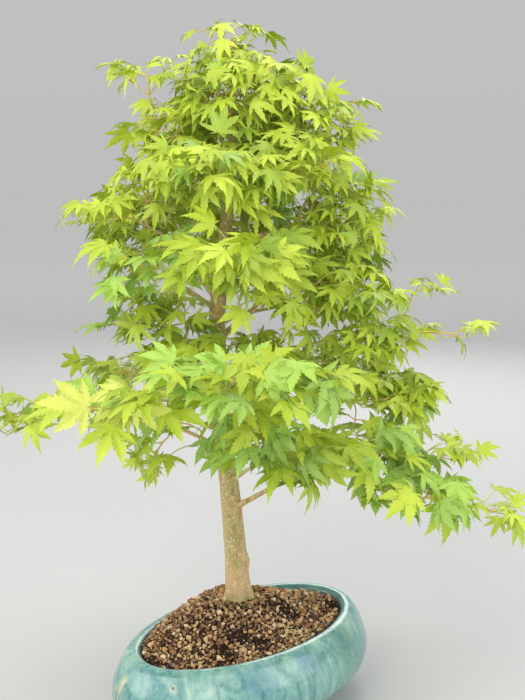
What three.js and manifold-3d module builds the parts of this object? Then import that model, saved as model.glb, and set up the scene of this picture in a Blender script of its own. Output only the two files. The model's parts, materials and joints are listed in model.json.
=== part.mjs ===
// A miniature maple in an oval glazed pot, at its own size. Millimetres, +Z up, z = 0 on the pot's flat underside.
// The tree's best side faces -Y; its long low bough reaches out to +X.
import * as THREE from "three";
import { mergeVertices } from "three/addons/utils/BufferGeometryUtils.js";
import Module from "manifold-3d";

const wasm = await Module();
wasm.setup();

// ---------------------------------------------------------------- driving dimensions
const GAP = 0.4; // air left between two neighbouring solids
const TIDY = 0.3; // slivers left by the cuts are smoothed away below this size

// pot: an oval bowl with a thick rolled-in rim, its long axis turned in plan
const MOUTH_LONG = 127; // half length at the crest of the rim
const MOUTH_SHORT = 72.5; // half width at the crest of the rim
const POT_TURN = 42; // degrees from +X to the long axis
const POT_SIDES = 28;
const RIM_Z = 88;
const FLOOR_Z = 15;
const DRAIN_R = 6.5;
const DRAIN_AT = 46; // each side of the centre, along the long axis
// [offset outwards from the crest's ellipse, height], from the underside's edge up the outside and down the inside
const POT_WALL = [
  [-17, 0], [-15.6, 7], [-8, 12.5], [8.4, 21.6], [19.2, 32], [24, 44], [23.8, 56],
  [20.2, 67], [15.4, 76.4], [10.8, 83.6], [5.2, RIM_Z], [-1.2, RIM_Z + 0.6], [-4.8, 86], [-5.8, 82.6],
  [-3.6, 78.4], [3.2, 70], [10.2, 58], [12.4, 45], [8.4, 31], [-18, FLOOR_Z],
];

// soil: fills the bowl and heaps up to the foot of the trunk
const SOIL_EDGE_Z = 84.5;
const SOIL_TOP_Z = 109;
const SOIL_FLAT_R = 27;
const HEAP_TOWARDS = 150; // degrees from +X: the side where the soil is banked up steeply, just over the rim
const HEAP_RISE = 4.5;
const SOIL_WALL = [[-18.8, FLOOR_Z + GAP], [7.4, 31.3], [11.4, 45], [9.1, 57.6], [2.2, 69.5], [-4.6, 78.1], [-6.8, SOIL_EDGE_Z - 1.8]];

// trunk: [x, y, z, radius] of its axis, cut flat at the soil
const TRUNK = [
  [-8.4, 18, SOIL_TOP_Z + GAP, 15.6], [-8.6, 18, 114, 14.4], [-9, 18, 124, 13], [-9.8, 17.4, 141, 12.1],
  [-12, 16.4, 172, 11], [-14.4, 15, 204, 10.3], [-17.4, 13.4, 238, 9.6], [-24.4, 11.4, 296, 9],
  [-27.6, 12, 350, 8.6], [-28.2, 14, 408, 8.1], [-25, 15, 440, 7.6], [-21.6, 14.6, 474, 6.9],
  [-15.6, 13, 518, 5.6], [-12, 11, 566, 4.3], [-10.6, 10, 613, 3.1], [-11, 9.4, 652, 2], [-12, 9, 668, 1.1],
];
const TRUNK_SIDES = 11;
const FLARE = 0.13; // how far the root spurs stand out at the soil, as a share of the radius
const FLARE_Z = 24;
const SPURS = 5;

// boughs: [name, height it leaves the trunk, foliage it carries, radius at the trunk, radius at the tip, arch]
const BOUGHS = [
  ["bough_low_right", 205, "leaves_right_low", 2.5, 1.6, 7],
  ["bough_low_left", 268, "leaves_left_low", 2.1, 1.3, 6],
  ["bough_left_arm", 290, "leaves_left_arm", 2.1, 1.2, 9],
  ["bough_front_low", 250, "leaves_front_low", 2, 1.3, 7],
  ["bough_front_right_low", 234, "leaves_front_right_low", 2, 1.3, 7],
  ["bough_right_mid_low", 280, "leaves_right_low_mid", 2.4, 1.4, 9],
  ["bough_back_low_left", 300, "leaves_back_low_left", 2.4, 1.4, 8],
  ["bough_back_low_right", 270, "leaves_back_low_right", 2.4, 1.4, 8],
  ["bough_front", 320, "leaves_front", 2.6, 1.5, 12],
  ["bough_front_left", 308, "leaves_front_left", 2.3, 1.4, 10],
  ["bough_left_mid_low", 344, "leaves_left_lower_mid", 2.1, 1.3, 5],
  ["bough_right_reach", 350, "leaves_right_reach", 2.2, 1.3, 9],
  ["bough_back_right", 380, "leaves_back_right", 2.5, 1.5, 7],
  ["bough_right_mid", 398, "leaves_right_mid", 2.2, 1.3, 5],
  ["bough_left_mid", 410, "leaves_left_mid", 2.1, 1.3, 6],
  ["bough_front_mid", 426, "leaves_front_mid", 2.2, 1.3, 6],
  ["bough_back_left", 420, "leaves_back_left", 2.4, 1.4, 7],
  ["bough_right_fork", 472, "leaves_right_shoulder", 3.1, 1.8, 5],
  ["bough_left_shoulder", 450, "leaves_left_shoulder", 2.1, 1.3, 6],
];
const BOUGH_SIDES = 5;

// foliage: [name, centre x, y, z, half length, half depth, half height, roll, turn, waviness], outermost first
const MASSES = [
  ["leaves_left_arm_tip", -207, -52, 314, 35, 24, 10, 2, 14, 0.15],
  ["leaves_left_arm", -160, -44, 320, 34, 25, 12, 6, 14, 0.15],
  ["leaves_left_drop", -92, 4, 256, 17, 16, 42, 2, 0, 0.12],
  ["leaves_low_right_tip", 229, -88, 239, 37, 28, 15, -28, -8, 0.15],
  ["leaves_low_right_top", 186, -64, 285, 38, 26, 12, -8, 0, 0.15],
  ["leaves_right_reach_tip", 200, -46, 393, 31, 22, 11, 4, -6, 0.16],
  ["leaves_right_mid_tip", 158, -30, 431, 33, 24, 13, 6, 0, 0.16],
  ["leaves_upper_left_tip", -88, -20, 627, 34, 27, 17, 8, 0, 0.15],
  ["leaves_front", 8, -182, 374, 74, 50, 20, -4, 8, 0.14],
  ["leaves_front_left", -88, -146, 346, 45, 42, 24, 26, -20, 0.14],
  ["leaves_front_low", 0, -114, 302, 29, 32, 26, 0, 0, 0.14],
  ["leaves_front_right_low", 44, -108, 294, 46, 36, 29, 0, 0, 0.14],
  ["leaves_front_mid", -6, -108, 466, 60, 48, 28, 0, 4, 0.13],
  ["leaves_left_mid", -93, -62, 454, 43, 42, 30, 14, 10, 0.13],
  ["leaves_left_shoulder", -126, -22, 507, 38, 36, 26, 20, 0, 0.13],
  ["leaves_right_low_front", 164, -94, 254, 54, 38, 24, -19, -10, 0.13],
  ["leaves_right_low", 114, -66, 285, 60, 48, 30, -12, -14, 0.13],
  ["leaves_left_low", -120, 8, 306, 40, 38, 23, 20, 0, 0.13],
  ["leaves_left_low_top", -110, -2, 341, 32, 32, 18, 6, 0, 0.14],
  ["leaves_right_reach", 122, -38, 389, 70, 38, 21, 0, 0, 0.13],
  ["leaves_right_low_mid", 132, -6, 328, 68, 58, 31, -8, 0, 0.13],
  ["leaves_back_low_left", -122, 112, 333, 64, 54, 23, 8, -34, 0.13],
  ["leaves_back_low_right", 84, 120, 332, 72, 58, 27, -4, 36, 0.13],
  ["leaves_left_lower_mid", -82, -8, 404, 56, 48, 31, 0, 0, 0.13],
  ["leaves_right_mid", 82, -30, 424, 68, 54, 35, 0, -10, 0.12],
  ["leaves_inner_low", -20, -40, 366, 72, 48, 30, 0, 0, 0.12],
  ["leaves_back_right", 84, 112, 452, 70, 58, 50, 0, 36, 0.13],
  ["leaves_back_left", -104, 106, 478, 68, 58, 50, 0, -38, 0.13],
  ["leaves_upper_left", -76, -12, 584, 42, 40, 30, -2, 0, 0.13],
  ["leaves_upper_right", 70, 8, 586, 50, 44, 38, -24, 0, 0.12],
  ["leaves_right_shoulder", 86, -4, 495, 54, 56, 54, -8, 0, 0.12],
  ["leaves_left_upper_mid", -92, -8, 524, 54, 48, 38, 10, 0, 0.12],
  ["leaves_front_upper", -28, -66, 536, 70, 42, 48, 0, 0, 0.12],
  ["leaves_right_inner", 40, -46, 544, 58, 42, 44, 0, 0, 0.12],
  ["leaves_inner_upper", 14, 46, 482, 74, 36, 50, 0, 0, 0.12],
  ["leaves_back_upper", -8, 90, 568, 84, 54, 68, 0, 0, 0.12],
  ["leaves_top", -17, 10, 663, 38, 34, 24, 0, 0, 0.15],
  ["leaves_upper_crown", -6, 12, 609, 76, 60, 50, 0, 0, 0.12],
];

const GLAZE = 0x4f9094, EARTH = 0x6b4a35, BARK = 0xa08b62, GREEN = [0x8fb53a, 0x9cc043, 0x86ab3c, 0xa6c84e];

// ---------------------------------------------------------------- helpers
const rad = THREE.MathUtils.degToRad;
const smooth = (a, b, v) => { const t = Math.min(1, Math.max(0, (v - a) / (b - a))); return t * t * (3 - 2 * t); };

function solidOf(geometry) {
  geometry.deleteAttribute("normal");
  geometry.deleteAttribute("uv");
  const g = mergeVertices(geometry, 1e-4);
  return new wasm.Manifold(new wasm.Mesh({
    numProp: 3,
    vertProperties: new Float32Array(g.attributes.position.array),
    triVerts: new Uint32Array(g.index.array),
  }));
}

function geometryOf(solid) {
  const m = solid.getMesh(), out = new Float32Array(m.numVert * 3);
  for (let i = 0; i < m.numVert; i++) out.set(m.vertProperties.subarray(i * m.numProp, i * m.numProp + 3), i * 3);
  const g = new THREE.BufferGeometry();
  g.setAttribute("position", new THREE.BufferAttribute(out, 3));
  g.setIndex(new THREE.BufferAttribute(new Uint32Array(m.triVerts), 1));
  g.computeVertexNormals();
  return g;
}

// Closed skin over a stack of equal rings, with a point or a flat fan at each end.
function skin(rings, first, last) {
  const n = rings[0].length, verts = [], faces = [];
  for (const ring of rings) for (const p of ring) verts.push(p.x, p.y, p.z);
  for (let r = 0; r + 1 < rings.length; r++)
    for (let i = 0; i < n; i++) {
      const a = r * n + i, b = r * n + ((i + 1) % n);
      faces.push(a, b, b + n, a, b + n, a + n);
    }
  const f = verts.length / 3;
  verts.push(first.x, first.y, first.z, last.x, last.y, last.z);
  for (let i = 0; i < n; i++) {
    const j = (i + 1) % n, base = (rings.length - 1) * n;
    faces.push(f, j, i, f + 1, base + i, base + j);
  }
  const g = new THREE.BufferGeometry();
  g.setAttribute("position", new THREE.Float32BufferAttribute(verts, 3));
  g.setIndex(faces);
  return g;
}

// One ring of the oval pot at an offset from its opening and a height.
function oval(offset, z, sides = POT_SIDES) {
  const ring = [], turn = rad(POT_TURN);
  for (let i = 0; i < sides; i++) {
    const t = (i / sides) * 2 * Math.PI;
    const x = (MOUTH_LONG + offset) * Math.cos(t), y = (MOUTH_SHORT + offset) * Math.sin(t);
    ring.push(new THREE.Vector3(x * Math.cos(turn) - y * Math.sin(turn), x * Math.sin(turn) + y * Math.cos(turn), z));
  }
  return ring;
}

// Tapering limb through points with radii; swell(angle, point) scales the ring, so a foot can spread in spurs.
function limb(points, radii, sides, swell = () => 1, level = false) {
  const rings = [], side = new THREE.Vector3(1, 0, 0);
  points.forEach((p, k) => {
    const a = points[Math.max(0, k - 1)], b = points[Math.min(points.length - 1, k + 1)];
    const along = b.clone().sub(a).normalize();
    if (level && k === 0) along.set(0, 0, 1);
    if (k === 0 && Math.abs(along.x) > 0.9) side.set(0, 1, 0);
    const u = side.clone().addScaledVector(along, -side.dot(along)).normalize();
    const v = along.clone().cross(u);
    side.copy(u);
    const ring = [];
    for (let i = 0; i < sides; i++) {
      const t = (i / sides) * 2 * Math.PI, r = radii[k] * swell(t, p);
      ring.push(p.clone().addScaledVector(u, r * Math.cos(t)).addScaledVector(v, r * Math.sin(t)));
    }
    rings.push(ring);
  });
  return skin(rings, points[0].clone(), points[points.length - 1].clone());
}

// A closed, uneven cushion of foliage; grow pushes its surface out evenly.
function cushion([, x, y, z, a, b, c, roll, turn, wave], seed, grow = 0) {
  const g = new THREE.IcosahedronGeometry(1, Math.max(a, b) < 39 ? 1 : 2);
  g.deleteAttribute("normal");
  g.deleteAttribute("uv");
  const m = mergeVertices(g, 1e-4), p = m.attributes.position, v = new THREE.Vector3();
  const k = [1.9, 2.7, 3.3].map((f, i) => f + 0.6 * Math.sin(seed * (1.7 + i)));
  const turned = new THREE.Euler(0, -rad(roll), rad(turn), "ZYX");
  for (let i = 0; i < p.count; i++) {
    v.fromBufferAttribute(p, i).normalize();
    const lump = Math.sin(k[0] * v.x * 2 + seed) * Math.cos(k[1] * v.y * 2 - seed) + 0.6 * Math.sin(k[2] * v.z * 2.4 + k[1] * v.x * 3 + 2 * seed);
    const r = 1 + wave * lump * 0.75;
    const skirt = 1 - 0.16 * smooth(0.1, 0.9, -v.z); // flatter below than above
    v.set(v.x * (a * r + grow), v.y * (b * r + grow), v.z * (c * r * skirt + grow));
    v.applyEuler(turned);
    p.setXYZ(i, v.x + x, v.y + y, v.z + z);
  }
  return solidOf(m);
}

const biggest = (s) => s.decompose().sort((p, q) => q.volume() - p.volume())[0];
const tidy = (s) => biggest(s.simplify ? s.simplify(TIDY) : s);

const root = new THREE.Group();
root.name = "potted_maple";
function add(name, solid, colour, roughness) {
  const mesh = new THREE.Mesh(geometryOf(solid), new THREE.MeshStandardMaterial({ color: colour, roughness, metalness: 0 }));
  mesh.name = name;
  root.add(mesh);
}

// ---------------------------------------------------------------- pot
{
  const centre = (z) => new THREE.Vector3(0, 0, z);
  let pot = solidOf(skin(POT_WALL.map(([d, z]) => oval(d, z)), centre(0), centre(FLOOR_Z)));
  for (const s of [-1, 1]) {
    const drain = new THREE.CylinderGeometry(DRAIN_R, DRAIN_R, FLOOR_Z * 2 + 4, 16).rotateX(Math.PI / 2);
    drain.translate(s * DRAIN_AT * Math.cos(rad(POT_TURN)), s * DRAIN_AT * Math.sin(rad(POT_TURN)), FLOOR_Z / 2);
    pot = pot.subtract(solidOf(drain));
  }
  add("pot", pot, GLAZE, 0.25);
}

// ---------------------------------------------------------------- soil
{
  const foot = new THREE.Vector3(TRUNK[0][0], TRUNK[0][1], 0);
  const rings = SOIL_WALL.map(([d, z]) => oval(d, z));
  const edge = oval(-8, SOIL_EDGE_Z);
  // the heap: rings drawn in from the wall towards a level patch under the trunk
  for (const t of [0, 0.14, 0.34, 0.66, 1]) {
    rings.push(edge.map((p) => {
      const out = p.clone().sub(foot).setZ(0), flat = out.clone().setLength(SOIL_FLAT_R);
      const banked = smooth(-0.1, 0.7, Math.cos(Math.atan2(out.y, out.x) - rad(HEAP_TOWARDS)));
      const q = foot.clone().add(flat.lerp(out, 1 - t));
      const lumps = t > 0 && t < 1 ? 1.3 * Math.sin(p.x * 0.09 + 5 * t) * Math.cos(p.y * 0.11 - 3 * t) : 0;
      const low = SOIL_EDGE_Z + HEAP_RISE * banked;
      const rise = (1 - banked) * (0.45 * t + 0.55 * smooth(0, 1, t)) + banked * (1 - Math.pow(1 - t, 3.6));
      q.z = low + (SOIL_TOP_Z - low) * rise + lumps;
      return q;
    }));
  }
  add("soil", solidOf(skin(rings, new THREE.Vector3(0, 0, FLOOR_Z + GAP), foot.clone().setZ(SOIL_TOP_Z))), EARTH, 0.95);
}

// ---------------------------------------------------------------- trunk
const axis = TRUNK.map(([x, y, z]) => new THREE.Vector3(x, y, z));
function trunk(grow) {
  const swell = (t, p) => {
    const low = 1 - smooth(SOIL_TOP_Z, SOIL_TOP_Z + FLARE_Z, p.z);
    return 1 + FLARE * low * Math.cos(SPURS * t + 0.8) + 0.04 * Math.sin(2 * t + p.z * 0.05);
  };
  return solidOf(limb(axis, TRUNK.map((r) => r[3] + grow), TRUNK_SIDES, swell, true));
}
function onTrunk(z) {
  const k = Math.max(0, TRUNK.findIndex((r) => r[2] > z) - 1), a = TRUNK[k], b = TRUNK[k + 1], t = (z - a[2]) / (b[2] - a[2]);
  return new THREE.Vector3(a[0] + (b[0] - a[0]) * t, a[1] + (b[1] - a[1]) * t, z);
}
const trunkRoom = trunk(GAP);
add("trunk", trunk(0), BARK, 0.8);

// ---------------------------------------------------------------- boughs, from the trunk to the foliage each one carries
const seeds = new Map(MASSES.map((row, i) => [row[0], i + 1])), boughs = [];
function bough(z, target, r0, r1, arch, grow) {
  const row = MASSES[seeds.get(target) - 1], from = onTrunk(z), to = new THREE.Vector3(row[1], row[2], row[3]), pts = [], rr = [];
  for (let k = 0; k <= 3; k++) {
    const t = k / 3, p = from.clone().lerp(to, t);
    p.z += arch * 4 * t * (1 - t);
    pts.push(p);
    rr.push((r0 + (r1 - r0) * t) * (1 + 0.35 * (1 - smooth(0, 0.34, t))) + grow);
  }
  return solidOf(limb(pts, rr, BOUGH_SIDES));
}
for (const [name, z, target, r0, r1, arch] of BOUGHS) {
  let s = bough(z, target, r0, r1, arch, 0).subtract(trunkRoom);
  s = s.subtract(cushion(MASSES[seeds.get(target) - 1], seeds.get(target), GAP * 1.8));
  for (const b of boughs) s = s.subtract(b.room);
  boughs.push({ target, room: bough(z, target, r0, r1, arch, GAP * 1.3) });
  add(name, tidy(s), BARK, 0.8);
}

// ---------------------------------------------------------------- foliage, cut round the trunk, passing boughs and each other
const rooms = [];
MASSES.forEach((row, i) => {
  let s = cushion(row, i + 1).subtract(trunkRoom);
  for (const b of boughs) if (b.target !== row[0]) s = s.subtract(b.room);
  for (const r of rooms) s = s.subtract(r);
  rooms.push(cushion(row, i + 1, GAP * 1.8));
  add(row[0], tidy(s), GREEN[i % GREEN.length], 0.7);
});

export default root;
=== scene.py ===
import json
import math

import bpy
import numpy as np
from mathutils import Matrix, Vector
from mathutils.bvhtree import BVHTree

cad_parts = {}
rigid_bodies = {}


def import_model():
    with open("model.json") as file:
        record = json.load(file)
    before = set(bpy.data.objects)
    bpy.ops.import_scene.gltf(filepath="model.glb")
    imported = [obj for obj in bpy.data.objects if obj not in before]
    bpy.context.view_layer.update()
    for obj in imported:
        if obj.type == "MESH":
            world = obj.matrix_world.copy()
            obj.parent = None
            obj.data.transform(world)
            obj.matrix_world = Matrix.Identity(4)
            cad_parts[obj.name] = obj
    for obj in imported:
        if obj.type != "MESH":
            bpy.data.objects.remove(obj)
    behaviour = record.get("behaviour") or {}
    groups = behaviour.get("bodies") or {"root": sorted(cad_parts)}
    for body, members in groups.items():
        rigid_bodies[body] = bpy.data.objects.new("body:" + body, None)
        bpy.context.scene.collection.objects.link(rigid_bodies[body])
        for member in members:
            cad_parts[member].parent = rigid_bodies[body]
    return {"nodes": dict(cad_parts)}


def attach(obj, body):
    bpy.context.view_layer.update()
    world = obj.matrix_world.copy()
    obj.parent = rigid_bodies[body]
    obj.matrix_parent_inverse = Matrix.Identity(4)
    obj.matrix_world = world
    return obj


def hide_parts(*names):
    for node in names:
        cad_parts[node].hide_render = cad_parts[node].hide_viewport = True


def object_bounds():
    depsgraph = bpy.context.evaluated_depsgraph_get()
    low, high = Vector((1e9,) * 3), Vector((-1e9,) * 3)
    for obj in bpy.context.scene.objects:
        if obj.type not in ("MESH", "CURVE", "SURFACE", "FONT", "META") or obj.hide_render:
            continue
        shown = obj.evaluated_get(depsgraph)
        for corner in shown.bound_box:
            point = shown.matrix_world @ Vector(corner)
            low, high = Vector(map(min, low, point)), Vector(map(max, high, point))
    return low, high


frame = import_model()
CAD_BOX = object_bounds()
NODES = frame["nodes"]
MM = 0.001
RNG = np.random.default_rng(7301)
UP = np.array([0.0, 0.0, 1.0])


# ------------------------------------------------------------------ small maths
def unit(v):
    v = np.asarray(v, float)
    return v / max(1e-9, np.linalg.norm(v))


def smooth(a, b, v):
    t = np.clip((np.asarray(v, float) - a) / (b - a), 0, 1)
    return t * t * (3 - 2 * t)


def hash3(i, j, k, seed):
    h = (i * 374761393 + j * 668265263 + k * 2147483647 + seed * 1274126177) & 0xFFFFFFFF
    h = ((h ^ (h >> 13)) * 1274126177) & 0xFFFFFFFF
    return ((h ^ (h >> 16)) & 0xFFFF) / 65535.0


def noise(P, seed=0):
    """Smooth value noise from -1 to 1 at points P (n, 3)."""
    P = np.asarray(P, float)
    c = np.floor(P).astype(np.int64)
    f = P - c
    f = f * f * (3 - 2 * f)
    out = np.zeros(len(P))
    for dx in (0, 1):
        for dy in (0, 1):
            for dz in (0, 1):
                w = (f[:, 0] if dx else 1 - f[:, 0]) * (f[:, 1] if dy else 1 - f[:, 1]) * (f[:, 2] if dz else 1 - f[:, 2])
                out += w * hash3(c[:, 0] + dx, c[:, 1] + dy, c[:, 2] + dz, seed)
    return out * 2 - 1


def srgb(r, g, b):
    return [((c / 255 + 0.055) / 1.055) ** 2.4 if c > 10.3 else c / 255 / 12.92 for c in (r, g, b)] + [1.0]


# ------------------------------------------------------------------ mesh building
class Pile:
    """Vertices and triangles or quads gathered for one joined mesh, with a material for each face."""

    def __init__(self):
        self.v, self.f, self.m, self.n = [], [], [], 0

    def add(self, verts, faces, mat=0):
        verts = np.asarray(verts, float)
        faces = np.asarray(faces, int)
        self.v.append(verts)
        self.f.append(faces + self.n)
        self.m.append(np.full(len(faces), mat) if np.isscalar(mat) else np.asarray(mat))
        self.n += len(verts)

    def count(self):
        return sum(len(f) * (f.shape[1] - 2) for f in self.f)

    def build(self, name, materials, slot, shade=True, replaces=()):
        mesh = bpy.data.meshes.new(name)
        V = np.concatenate(self.v) * MM
        sizes = np.concatenate([np.full(len(f), f.shape[1]) for f in self.f])
        loops = np.concatenate([f.ravel() for f in self.f])
        mesh.vertices.add(len(V))
        mesh.vertices.foreach_set("co", V.astype(np.float32).ravel())
        mesh.loops.add(len(loops))
        mesh.loops.foreach_set("vertex_index", loops.astype(np.int32))
        mesh.polygons.add(len(sizes))
        mesh.polygons.foreach_set("loop_start", np.concatenate([[0], np.cumsum(sizes)[:-1]]).astype(np.int32))
        for m in materials:
            mesh.materials.append(m)
        mesh.polygons.foreach_set("material_index", np.concatenate(self.m).astype(np.int32))
        mesh.polygons.foreach_set("use_smooth", np.full(len(sizes), bool(shade)))
        mesh.update(calc_edges=True)
        mesh.validate()
        o = bpy.data.objects.new(name, mesh)
        bpy.context.scene.collection.objects.link(o)
        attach(o, "root")
        if replaces:
            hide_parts(*replaces)
        return o


def tube(pile, pts, radii, sides, mat=0, cap=True, bump=None):
    """A tapering tube through pts; bump(points, angles, along) may push its skin out."""
    pts = np.asarray(pts, float)
    n = len(pts)
    d = np.gradient(pts, axis=0)
    d /= np.maximum(1e-9, np.linalg.norm(d, axis=1))[:, None]
    side = np.array([1.0, 0, 0]) if abs(d[0, 0]) < 0.9 else np.array([0, 1.0, 0])
    U = np.zeros_like(pts)
    for i in range(n):
        side = side - d[i] * side.dot(d[i])
        side /= max(1e-9, np.linalg.norm(side))
        U[i] = side
    W = np.cross(d, U)
    a = np.linspace(0, 2 * np.pi, sides, endpoint=False)
    r = np.asarray(radii, float)[:, None] * np.ones(sides)[None]
    ring = U[:, None] * np.cos(a)[None, :, None] + W[:, None] * np.sin(a)[None, :, None]
    P = pts[:, None] + ring * r[..., None]
    if bump is not None:
        P = P + ring * bump(P.reshape(-1, 3), np.tile(a, n), np.repeat(np.arange(n), sides)).reshape(n, sides, 1)
    i, j = np.meshgrid(np.arange(n - 1), np.arange(sides), indexing="ij")
    k = (j + 1) % sides
    F = np.stack([i * sides + j, i * sides + k, (i + 1) * sides + k, (i + 1) * sides + j], -1).reshape(-1, 4)
    pile.add(P.reshape(-1, 3), F, mat)
    if cap:
        tip = P[-1].mean(0) + d[-1] * r[-1, 0] * 0.6
        ends = np.vstack([P[-1], tip])
        pile.add(ends, [[q, (q + 1) % sides, sides] for q in range(sides)], mat)


# ------------------------------------------------------------------ materials
def material(name):
    m = bpy.data.materials.new(name)
    m.use_nodes = True
    return m, m.node_tree.nodes, m.node_tree.links, m.node_tree.nodes["Principled BSDF"]


def plain(name, rgb, rough=0.5, spec=0.5, sheen=0.0):
    m, n, l, p = material(name)
    p.inputs["Base Color"].default_value = srgb(*rgb)
    p.inputs["Roughness"].default_value = rough
    p.inputs["Specular IOR Level"].default_value = spec
    if sheen:
        p.inputs["Sheen Weight"].default_value = sheen
    m.diffuse_color = srgb(*rgb)
    return m


def node(nodes, kind, **values):
    n = nodes.new(kind)
    for k, v in values.items():
        if k in n.inputs:
            n.inputs[k].default_value = v
        else:
            setattr(n, k, v)
    return n


def ramp(nodes, links, source, stops):
    r = nodes.new("ShaderNodeValToRGB")
    while len(r.color_ramp.elements) < len(stops):
        r.color_ramp.elements.new(0.5)
    for e, (pos, col) in zip(r.color_ramp.elements, stops):
        e.position = pos
        e.color = col if len(col) == 4 else srgb(*col)
    links.new(source, r.inputs["Fac"])
    return r


def mix(nodes, links, fac, a, b, kind="MIX"):
    m = nodes.new("ShaderNodeMix")
    m.data_type = "RGBA"
    m.blend_type = kind
    for sock, v in ((m.inputs[0], fac), (m.inputs[6], a), (m.inputs[7], b)):
        if hasattr(v, "is_output"):
            links.new(v, sock)
        else:
            sock.default_value = v
    return m.outputs[2]


def spot(nodes, links, coord, centre_mm, r_in, r_out):
    """1 near a point of the object, fading to 0 at r_out millimetres."""
    d = nodes.new("ShaderNodeVectorMath")
    d.operation = "DISTANCE"
    links.new(coord, d.inputs[0])
    d.inputs[1].default_value = [c * MM for c in centre_mm]
    m = nodes.new("ShaderNodeMapRange")
    m.inputs["From Min"].default_value = r_in * MM
    m.inputs["From Max"].default_value = r_out * MM
    m.inputs["To Min"].default_value = 1
    m.inputs["To Max"].default_value = 0
    links.new(d.outputs["Value"], m.inputs["Value"])
    return m.outputs["Result"]


def scaled(nodes, links, coord, scale):
    mp = nodes.new("ShaderNodeMapping")
    mp.inputs["Scale"].default_value = scale
    links.new(coord, mp.inputs["Vector"])
    return mp.outputs["Vector"]


def noise_tex(nodes, links, vec, scale, detail=4, rough=0.55, distortion=0.0):
    t = nodes.new("ShaderNodeTexNoise")
    t.inputs["Scale"].default_value = scale
    t.inputs["Detail"].default_value = detail
    t.inputs["Roughness"].default_value = rough
    t.inputs["Distortion"].default_value = distortion
    links.new(vec, t.inputs["Vector"])
    return t.outputs["Fac"]


def bump_node(nodes, links, height, strength, distance, shader):
    b = nodes.new("ShaderNodeBump")
    b.inputs["Strength"].default_value = strength
    b.inputs["Distance"].default_value = distance
    links.new(height, b.inputs["Height"])
    links.new(b.outputs["Normal"], shader.inputs["Normal"])


# ------------------------------------------------------------------ the frame's limbs and masses, in millimetres
def verts(name):
    m = NODES[name].data
    co = np.zeros(len(m.vertices) * 3)
    m.vertices.foreach_get("co", co)
    return co.reshape(-1, 3) * 1000


def tris(name):
    m = NODES[name].data
    m.calc_loop_triangles()
    t = np.zeros(len(m.loop_triangles) * 3, np.int32)
    m.loop_triangles.foreach_get("vertices", t)
    return t.reshape(-1, 3)


def sections(name, origin, direction, stations):
    """Centre and mean radius of a limb where planes cross it."""
    V, T = verts(name), tris(name)
    E = np.unique(np.sort(np.vstack([T[:, :2], T[:, 1:], T[:, ::2]]), axis=1), axis=0)
    h = (V - origin) @ direction
    out = []
    for s in stations:
        a, b = h[E[:, 0]] - s, h[E[:, 1]] - s
        cut = (a * b) < 0
        if cut.sum() < 3:
            continue
        t = (a[cut] / (a[cut] - b[cut]))[:, None]
        P = V[E[cut, 0]] * (1 - t) + V[E[cut, 1]] * t
        c = (P.max(0) + P.min(0)) / 2
        out.append((c, float(np.linalg.norm(P - c, axis=1).mean())))
    return out


tv = verts("trunk")
T_LOW, T_TOP = tv[:, 2].min(), tv[:, 2].max()
trunk_rows = sections("trunk", np.zeros(3), UP, np.concatenate([np.arange(T_LOW + 0.4, T_LOW + 30, 3), np.arange(T_LOW + 32, T_TOP - 1, 9)]))
TRUNK_C = np.array([c for c, _ in trunk_rows])
TRUNK_R = np.array([r for _, r in trunk_rows])
for _ in range(2):  # the CAD's ring edges softened
    TRUNK_C[4:-1] = (TRUNK_C[3:-2] + 2 * TRUNK_C[4:-1] + TRUNK_C[5:]) / 4


def trunk_at(z):
    return np.array([np.interp(z, TRUNK_C[:, 2], TRUNK_C[:, 0]), np.interp(z, TRUNK_C[:, 2], TRUNK_C[:, 1]), z])


def trunk_r(z):
    return float(np.interp(z, TRUNK_C[:, 2], TRUNK_R))


class Mass:
    def __init__(self, name):
        self.name = name
        self.key = name[len("leaves_"):]
        V, T = verts(name), tris(name)
        a, b, c = V[T[:, 0]], V[T[:, 1]], V[T[:, 2]]
        vol = np.einsum("ij,ij->i", a, np.cross(b, c)) / 6
        self.volume = abs(vol.sum())
        self.c = ((a + b + c) / 4 * vol[:, None]).sum(0) / vol.sum()
        q = np.stack([a - self.c, b - self.c, c - self.c])
        s = q.sum(0)
        vol2 = np.einsum("ij,ij->i", a - self.c, np.cross(b - self.c, c - self.c)) / 6
        M = (np.einsum("kij,kil,i->jl", q, q, vol2) + np.einsum("ij,il,i->jl", s, s, vol2)) / 20 / vol2.sum()
        w, R = np.linalg.eigh(M)
        self.axes = R[:, ::-1].T
        self.half = np.sqrt(np.maximum(5 * w[::-1], 1))
        self.tree = BVHTree.FromPolygons([Vector(v) for v in V], T.tolist())

    def inside(self, p):
        hits, o = 0, Vector(p)
        for _ in range(12):
            h = self.tree.ray_cast(o, Vector((0.013, 0.017, 1)))
            if h[0] is None:
                break
            hits += 1
            o = h[0] + Vector((0.013, 0.017, 1)) * 1e-3
        return hits % 2 == 1

    def gap(self, p):
        return self.tree.find_nearest(Vector(p))[3]


MASSES = {n: Mass(n) for n in sorted(NODES) if n.startswith("leaves_")}


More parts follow.
